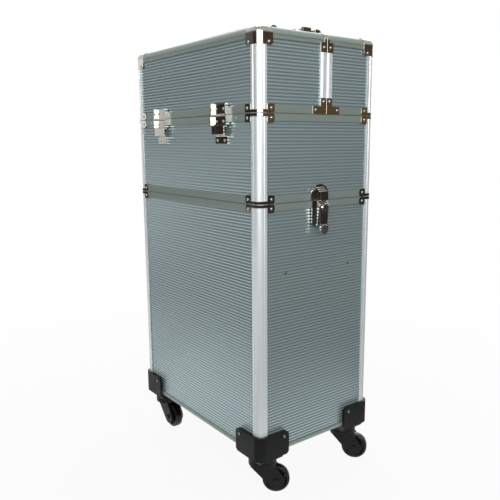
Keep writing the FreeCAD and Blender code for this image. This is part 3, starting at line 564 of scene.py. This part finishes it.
# bracket rivets: reach in from the corner, rise from the seam or drop from the lid top
rivetShape = {"radius": 2.3, "height": 1.1, "sheet": 1.0, "tabReach": 23.5, "tabRise": 7.0,
              "capReach": 19.4, "capDrop": 22.5}
splitRivets = {"legAcross": 6.0, "legRise": 19.0, "footAcross": 22.5, "footRise": 6.3,
               "crownAcross": 6.5, "crownDrop": 21.5}
hingeRivets = {"spread": 92.0, "half": 9.5, "lidRise": 9.0, "caseRise": -9.5, "leafProud": 1.5,
               "footRise": -38.0, "footProud": -0.1}


def cornerPlaces(level, reach, sides, proud):
    # one rivet on each face of the corners at these sides
    found = []
    for sx in sides:
        for sy in bothSides:
            found.append(((sx * (case["x"] - reach), sy * (case["y"] + proud), level), (0, sy, 0)))
            found.append(((sx * (case["x"] + proud), sy * (case["y"] - reach), level), (sx, 0, 0)))
    return found


def splitPlaces(split, way):
    # leg, foot and crown rivets of the brackets beside the split, front and back
    spots = ((splitRivets["legAcross"], case["highSeam"] + splitRivets["legRise"]),
             (splitRivets["footAcross"], case["highSeam"] + splitRivets["footRise"]),
             (splitRivets["crownAcross"], case["top"] - splitRivets["crownDrop"]))
    return [((split - way * across, sy * (case["y"] + rivetShape["sheet"]), level), (0, sy, 0))
            for sy in bothSides for across, level in spots]


def hingePlaces(sides, rows):
    # a pair of rivets for each row of the hinges at these sides
    found = []
    for sx in sides:
        for sy in bothSides:
            for rise, proud in rows:
                for way in bothSides:
                    y = sy * hingeRivets["spread"] + way * hingeRivets["half"]
                    found.append(((sx * (case["x"] + proud), y, case["highSeam"] + rise), (sx, 0, 0)))
    return found


def capPlaces(side):
    # rivets in the faces and tops of the corner caps
    reach = rivetShape["capReach"]
    found = cornerPlaces(case["top"] - rivetShape["capDrop"], reach, (side,), rivetShape["sheet"])
    for sy in bothSides:
        spot = (side * (case["x"] - reach), sy * (case["y"] - reach), case["top"] + rivetShape["sheet"])
        found.append((spot, (0, 0, 1)))
    return found


def tabPlaces(level, sides):
    return cornerPlaces(level, rivetShape["tabReach"], sides, rivetShape["sheet"])


tabRise = rivetShape["tabRise"]
leafProud = hingeRivets["leafProud"]
rivet = domeHead(rivetShape)
scatter("rivets_base", "base", chromeFinish, rivet,
        tabPlaces(case["lowSeam"] - tabRise, bothSides))
upperRows = [(hingeRivets["caseRise"], leafProud), (hingeRivets["footRise"], hingeRivets["footProud"])]
scatter("rivets_upper", "upper_case", chromeFinish, rivet,
        tabPlaces(case["lowSeam"] + tabRise, bothSides) + tabPlaces(case["highSeam"] - tabRise, bothSides)
        + hingePlaces(bothSides, upperRows))
lidRows = [(hingeRivets["lidRise"], leafProud)]
for label, side in (("left", -1), ("right", 1)):
    scatter("rivets_lid_" + label, "lid_" + label, chromeFinish, rivet,
            tabPlaces(case["highSeam"] + tabRise, (side,)) + capPlaces(side)
            + splitPlaces(case[label + "Split"], -side) + hingePlaces((side,), lidRows))
bpy.data.objects.remove(rivet)

# rivets that hold the rail under the lid
smallRivet = {"radius": 1.5, "height": 0.7, "railY": 132.0, "railDrop": 6.5}
rivet = domeHead(smallRivet)
scatter("rail_rivets", "upper_case", chromeFinish, rivet,
        [((sx * case["x"], sy * smallRivet["railY"], case["highSeam"] - smallRivet["railDrop"]), (sx, 0, 0))
         for sx in bothSides for sy in bothSides])
bpy.data.objects.remove(rivet)

# screws in the boots and, sunk between the ribs, in the front board
screwShape = {"radius": 2.6, "height": 1.2, "slot": 0.8, "bootReach": 47.0, "bootDrop": 8.0, "bootSink": 0.1,
              "boardX": 67.0, "boardDrop": 107.5, "boardDepth": 1.9}
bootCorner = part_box("caster_boots")[1] * perMetre
bootProud = bootCorner.y - case["y"] - screwShape["bootSink"]
screw = domeHead(screwShape)
screws = cornerPlaces(bootCorner.z - screwShape["bootDrop"], screwShape["bootReach"], bothSides, bootProud)
frontLevel = case["lowSeam"] - screwShape["boardDrop"]
screws += [((sx * screwShape["boardX"], -case["y"] + screwShape["boardDepth"], frontLevel), (0, -1, 0))
           for sx in bothSides]
scatter("case_screws", "base", screwFinish, screw, screws)
bpy.data.objects.remove(screw)
print("rivets and screws set")


# wheels: a turned rim and hub, by radius and half width, with curved vanes between them
wheelShape = {
    "profile": [(3.4, 6.6), (6.4, 6.6), (7.0, 6.0), (7.0, 2.6), (16.6, 2.6),
                (17.0, 6.2), (18.0, 7.0), (20.8, 7.0), (22.0, 6.0), (22.5, 3.6)],
    "segments": 56, "smooth": 35,
    "vanes": 11, "vaneInner": 6.6, "vaneOuter": 17.4, "vaneSteps": 6,
    "vaneTwist": 42.0, "vaneThick": 1.3, "vaneDepth": 4.6,
}
axleCap = {"radius": 4.6, "height": 1.6, "reach": 13.2}


def ringOf(points):
    # closed loop of edges through these points
    bpy.ops.object.select_all(action="DESELECT")
    bpy.ops.mesh.primitive_circle_add(vertices=len(points))
    piece = bpy.context.object
    for vertex, point in zip(piece.data.vertices, points):
        vertex.co = Vector(point) / perMetre
    edit(piece)
    return piece


def turnedWheel():
    side = wheelShape["profile"]
    piece = ringOf([(r, y, 0) for r, y in side] + [(r, -y, 0) for r, y in reversed(side)])
    bpy.ops.mesh.spin(steps=wheelShape["segments"], angle=2 * math.pi, center=(0, 0, 0), axis=(0, 1, 0))
    bpy.ops.mesh.select_all(action="SELECT")
    bpy.ops.mesh.remove_doubles(threshold=weld)
    bpy.ops.mesh.normals_make_consistent(inside=False)
    leaveEdit()
    return piece


def vaneRing():
    steps = wheelShape["vaneSteps"]
    vanes = wheelShape["vanes"]
    depth = wheelShape["vaneDepth"]
    edges = ([], [])
    for i in range(steps + 1):
        share = i / steps
        radius = wheelShape["vaneInner"] + share * (wheelShape["vaneOuter"] - wheelShape["vaneInner"])
        angle = math.radians(wheelShape["vaneTwist"]) * share * share
        for edge, way in zip(edges, bothSides):
            turn = angle + way * wheelShape["vaneThick"] / 2 / radius
            edge.append((radius * math.cos(turn), -depth, radius * math.sin(turn)))
    piece = ringOf(edges[0] + edges[1][::-1])
    bpy.ops.mesh.edge_face_add()
    bpy.ops.mesh.extrude_region_move(TRANSFORM_OT_translate={"value": (0, 2 * depth / perMetre, 0)})
    bpy.ops.mesh.select_all(action="SELECT")
    bpy.ops.mesh.normals_make_consistent(inside=False)
    bpy.ops.mesh.spin(steps=vanes - 1, dupli=True, center=(0, 0, 0), axis=(0, 1, 0),
                      angle=2 * math.pi * (vanes - 1) / vanes)
    leaveEdit()
    return piece


def addWheel(corner):
    joint = joints["wheel_" + corner + "_spin"]
    axis = Vector(joint["axis"])
    centre = Vector(joint["pos_m"])
    rim = turnedWheel()
    vanes = vaneRing()
    only(rim, vanes)
    bpy.ops.object.join()
    smooth(rim, wheelShape["smooth"])
    turn = Matrix.Rotation(math.atan2(axis.y, axis.x) - math.pi / 2, 4, "Z")
    rim.matrix_world = Matrix.Translation(centre) @ turn
    settle(rim)
    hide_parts("caster_wheel_" + corner)
    fix(rim, "wheel_" + corner, "wheel_" + corner, wheelFinish)
    cap = domeHead(axleCap)
    ends = [(centre * perMetre + axis * (way * axleCap["reach"]), axis * way) for way in bothSides]
    scatter("axle_caps_" + corner, "caster_" + corner, plasticFinish, cap, ends)
    bpy.data.objects.remove(cap)


for corner in ("front_left", "front_right", "back_left", "back_right"):
    addWheel(corner)
print("wheels turned")


# pale floor: white to the camera but for the shadow, in metal brightest close to the case and to its left
floorLook = {
    "size": 60.0, "colour": grey(0.5), "roughness": 0.9,
    "shownFrom": 0.3, "shownTo": 1.3, "shownNear": 0.93,
    "mirrorReach": 4.0, "mirrored": [(0.02, 1.0), (0.055, 0.22), (0.2, 0.14), (0.8, 0.03)],
    "leftWay": (-0.6, 0.8, 0.0), "leftStart": 0.1, "leftEnd": 0.6, "leftGain": 0.62,
    "leftFade": 1.5, "leftLost": 3.2,
}


def seenDirectly(material):
    # rays from the camera, straight or through glass, and beside them the mirrored ones
    path = addNode(material, "ShaderNodeLightPath")
    seen = calc(material, "MAXIMUM", path.outputs["Is Camera Ray"], path.outputs["Is Transmission Ray"])
    return seen, path.outputs["Is Glossy Ray"]


def floorMirrored(material, coords):
    # how bright metal sees the floor, by the gap to the case
    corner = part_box("base_boards")[1]
    x, y = pointOn(material)[:2]
    gap = calc(material, "MAXIMUM", calc(material, "SUBTRACT", calc(material, "ABSOLUTE", x), corner.x),
               calc(material, "SUBTRACT", calc(material, "ABSOLUTE", y), corner.y))
    share = calc(material, "DIVIDE", gap, floorLook["mirrorReach"])
    left = along(material, coords, floorLook["leftWay"])
    gain = mapped(material, left, floorLook["leftStart"], floorLook["leftEnd"], 0.0, floorLook["leftGain"])
    fade = mapped(material, gap, floorLook["leftFade"], floorLook["leftLost"], 1.0, 0.0)
    total = calc(material, "ADD", greyRamp(material, share, floorLook["mirrored"]),
                 calc(material, "MULTIPLY", gain, fade))
    return calc(material, "MINIMUM", total, 1.0)


def addFloor():
    bpy.ops.object.select_all(action="DESELECT")
    bpy.ops.mesh.primitive_plane_add(size=floorLook["size"])
    floor = bpy.context.object
    floor.name = "floor"
    material, shader = blank("pale floor", 0.0, floorLook["roughness"])
    shader.inputs["Base Color"].default_value = (*floorLook["colour"], 1)
    coords = addNode(material, "ShaderNodeTexCoord").outputs["Object"]
    length = addNode(material, "ShaderNodeVectorMath", operation="LENGTH")
    link(material, coords, length.inputs[0])
    shown = mapped(material, length.outputs["Value"], floorLook["shownFrom"], floorLook["shownTo"],
                   floorLook["shownNear"], 1.0)
    seen, glossy = seenDirectly(material)
    glowing = calc(material, "MAXIMUM", calc(material, "MULTIPLY", seen, shown), glossy)
    strength = calc(material, "MAXIMUM", seen, floorMirrored(material, coords))
    glow = addNode(material, "ShaderNodeEmission")
    link(material, strength, glow.inputs["Strength"])
    mix = addNode(material, "ShaderNodeMixShader")
    for socket, source in zip(mix.inputs, (glowing, shader.outputs[0], glow.outputs[0])):
        link(material, source, socket)
    link(material, mix.outputs[0], material.node_tree.nodes["Material Output"].inputs[0])
    dress(floor, material)


# surround: white to the camera; metal mirrors a dim room by height, with a warm, a pale and a white side
roomHeights = [(0.53, linear(48, 44, 40)), (0.59, linear(62, 57, 52)), (0.65, grey(0.32)),
               (0.74, grey(0.55)), (1.0, grey(0.5))]
roomSides = [
    {"way": (0.6, -0.8, 0.0), "start": 0.55, "end": 0.75, "colour": linear(98, 79, 54),
     "heights": [(0.49, 1.0), (0.55, 1.0), (0.6, 0.0)]},
    {"way": (0.6, 0.8, 0.0), "start": 0.52, "end": 0.9, "colour": grey(1.0),
     "heights": [(0.53, 0.0), (0.58, 0.25), (0.63, 0.35), (0.8, 0.35)]},
    {"way": (0.6, 0.8, 0.0), "start": 0.68, "end": 0.72, "colour": grey(1.0),
     "heights": [(0.57, 1.0), (0.63, 0.3)]},
]


def addSurround():
    world = bpy.data.worlds.new("studio")
    bpy.context.scene.world = world
    world.use_nodes = True
    coords = addNode(world, "ShaderNodeTexCoord").outputs["Generated"]
    height = towards(world, coords, (0, 0, 1))
    room = ramp(world, height, roomHeights)
    for side in roomSides:
        share = mapped(world, towards(world, coords, side["way"]), side["start"], side["end"], 0.0, 1.0)
        level = greyRamp(world, height, side["heights"])
        room = mixColour(world, calc(world, "MULTIPLY", share, level), room, side["colour"])
    seen = seenDirectly(world)[0]
    background = world.node_tree.nodes["Background"]
    link(world, mixColour(world, seen, room, grey(1.0)), background.inputs["Color"])


# soft lamps, aimed at the case: place, width, height, watts and fan in degrees
lampAim = (0, 0, 0.66)
lamps = {
    "key": ((-0.95, -0.95, 0.95), 2.0, 0.9, 2.3, 60),
    "fill": ((-0.6, -1.85, 1.1), 2.8, 1.1, 19, 180),
    "top": ((0.2, 0.3, 2.4), 1.4, 1.4, 12, 180),
    "back": ((1.4, 1.4, 1.5), 2.2, 2.2, 28, 180),
}


def addLamps():
    for name, (spot, width, height, power, fan) in lamps.items():
        bpy.ops.object.light_add(type="AREA", location=spot)
        lamp = bpy.context.object
        lamp.name = name
        lamp.data.shape = "RECTANGLE"
        lamp.data.size = width
        lamp.data.size_y = height
        lamp.data.energy = power
        lamp.data.spread = math.radians(fan)
        lamp.visible_camera = False
        lamp.rotation_euler = (Vector(lampAim) - Vector(spot)).to_track_quat("-Z", "Y").to_euler()


addFloor()
addSurround()
addLamps()
print("studio lit")
